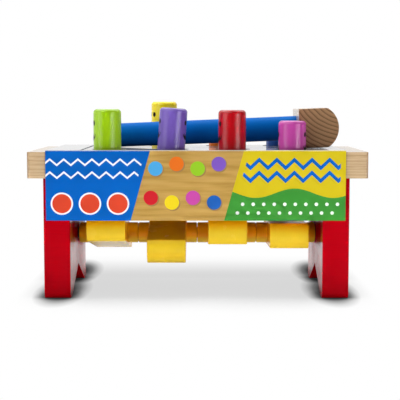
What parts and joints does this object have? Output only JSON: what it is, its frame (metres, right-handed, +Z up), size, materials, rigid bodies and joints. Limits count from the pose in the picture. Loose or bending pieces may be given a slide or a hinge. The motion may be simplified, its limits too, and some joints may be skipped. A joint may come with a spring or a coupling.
{
  "type": "peg pounding bench",
  "caption": "Wooden pounding bench with coloured pegs standing over see-saw rockers on a cross axle, with a loose mallet and a card sleeve over the top.",
  "frame": {"origin": "centre of the bounding box's lower face, on the floor", "axes": "+X along the bench to the viewer's right, +Y away from the viewer, +Z up"},
  "size_m": [0.292, 0.1312, 0.1702],
  "materials": {
    "bench_wood": "clear satin lacquer on pale hardwood",
    "dowel_wood": "bare hardwood",
    "leg_red": "satin red paint on hardwood",
    "rocker_yellow": "satin yellow paint on hardwood",
    "peg_green": "satin paint on hardwood",
    "peg_purple": "satin paint on hardwood",
    "peg_red": "satin paint on hardwood",
    "peg_pink": "satin paint on hardwood",
    "peg_light_blue": "satin paint on hardwood",
    "peg_yellow": "satin paint on hardwood",
    "peg_orange": "satin paint on hardwood",
    "peg_blue": "satin paint on hardwood",
    "mallet_wood": "clear lacquer on hardwood",
    "handle_blue": "satin blue paint on hardwood",
    "sleeve_card": "glossy printed card"
  },
  "bodies": {
    "bench": {"bench_top": "bench_wood", "leg_left": "leg_red", "leg_right": "leg_red", "dowel_left_front": "dowel_wood", "dowel_left_rear": "dowel_wood", "dowel_right_front": "dowel_wood", "dowel_right_rear": "dowel_wood", "axle_rod": "dowel_wood"},
    "rocker_1": {"rocker_1": "rocker_yellow"},
    "rocker_2": {"rocker_2": "rocker_yellow"},
    "rocker_3": {"rocker_3": "rocker_yellow"},
    "rocker_4": {"rocker_4": "rocker_yellow"},
    "peg_green": {"peg_green": "peg_green"},
    "peg_purple": {"peg_purple": "peg_purple"},
    "peg_red": {"peg_red": "peg_red"},
    "peg_pink": {"peg_pink": "peg_pink"},
    "peg_light_blue": {"peg_light_blue": "peg_light_blue"},
    "peg_yellow": {"peg_yellow": "peg_yellow"},
    "peg_orange": {"peg_orange": "peg_orange"},
    "peg_blue": {"peg_blue": "peg_blue"},
    "sleeve": {"card_sleeve": "sleeve_card"},
    "mallet": {"mallet_head": "mallet_wood", "mallet_handle": "handle_blue"}
  },
  "joints": [
    {"name": "rocker_1_tilt", "type": "hinge", "parent": "bench", "child": "rocker_1", "pos_m": [-0.0813, 0, 0.0505], "axis": [-1, 0, 0], "range_deg": [-31, 9]},
    {"name": "rocker_2_tilt", "type": "hinge", "parent": "bench", "child": "rocker_2", "pos_m": [-0.0275, 0, 0.0505], "axis": [-1, 0, 0], "range_deg": [-5, 34]},
    {"name": "rocker_3_tilt", "type": "hinge", "parent": "bench", "child": "rocker_3", "pos_m": [0.0263, 0, 0.0505], "axis": [-1, 0, 0], "range_deg": [-27.5, 12.5]},
    {"name": "rocker_4_tilt", "type": "hinge", "parent": "bench", "child": "rocker_4", "pos_m": [0.0801, 0, 0.0505], "axis": [-1, 0, 0], "range_deg": [-23, 17]},
    {"name": "peg_green_slide", "type": "slide", "parent": "bench", "child": "peg_green", "axis": [0, 0, 1], "range_m": [-0.02166, 0.0063]},
    {"name": "peg_purple_slide", "type": "slide", "parent": "bench", "child": "peg_purple", "axis": [0.0732, 0, 0.9973], "range_m": [-0.0242, 0.009]},
    {"name": "peg_red_slide", "type": "slide", "parent": "bench", "child": "peg_red", "axis": [0, 0, 1], "range_m": [-0.02017, 0.00918]},
    {"name": "peg_pink_slide", "type": "slide", "parent": "bench", "child": "peg_pink", "axis": [0, 0, 1], "range_m": [-0.01559, 0.01153]},
    {"name": "peg_light_blue_slide", "type": "slide", "parent": "bench", "child": "peg_light_blue", "axis": [0, 0, 1], "range_m": [-0.00598, 0.02057]},
    {"name": "peg_yellow_slide", "type": "slide", "parent": "bench", "child": "peg_yellow", "axis": [0, 0, 1], "range_m": [-0.02672, 0.00394]},
    {"name": "peg_orange_slide", "type": "slide", "parent": "bench", "child": "peg_orange", "axis": [0, 0, 1], "range_m": [-0.00831, 0.01825]},
    {"name": "peg_blue_slide", "type": "slide", "parent": "bench", "child": "peg_blue", "axis": [0, 0, 1], "range_m": [-0.01129, 0.01527]},
    {"name": "sleeve_lift", "type": "slide", "parent": "bench", "child": "sleeve", "axis": [0, 0, 1], "range_m": [0, 0.12]},
    {"name": "mallet_lift", "type": "slide", "parent": "sleeve", "child": "mallet", "axis": [0, 0, 1], "range_m": [0, 0.08]}
  ],
  "couplings": [
    {"joint": "peg_green_slide", "follows": "rocker_1_tilt", "m_per_rad": 0.04},
    {"joint": "peg_red_slide", "follows": "rocker_3_tilt", "m_per_rad": 0.042},
    {"joint": "peg_pink_slide", "follows": "rocker_4_tilt", "m_per_rad": 0.0388},
    {"joint": "peg_light_blue_slide", "follows": "rocker_1_tilt", "m_per_rad": -0.038},
    {"joint": "peg_yellow_slide", "follows": "rocker_2_tilt", "m_per_rad": -0.045},
    {"joint": "peg_orange_slide", "follows": "rocker_3_tilt", "m_per_rad": -0.038},
    {"joint": "peg_blue_slide", "follows": "rocker_4_tilt", "m_per_rad": -0.038}
  ]
}
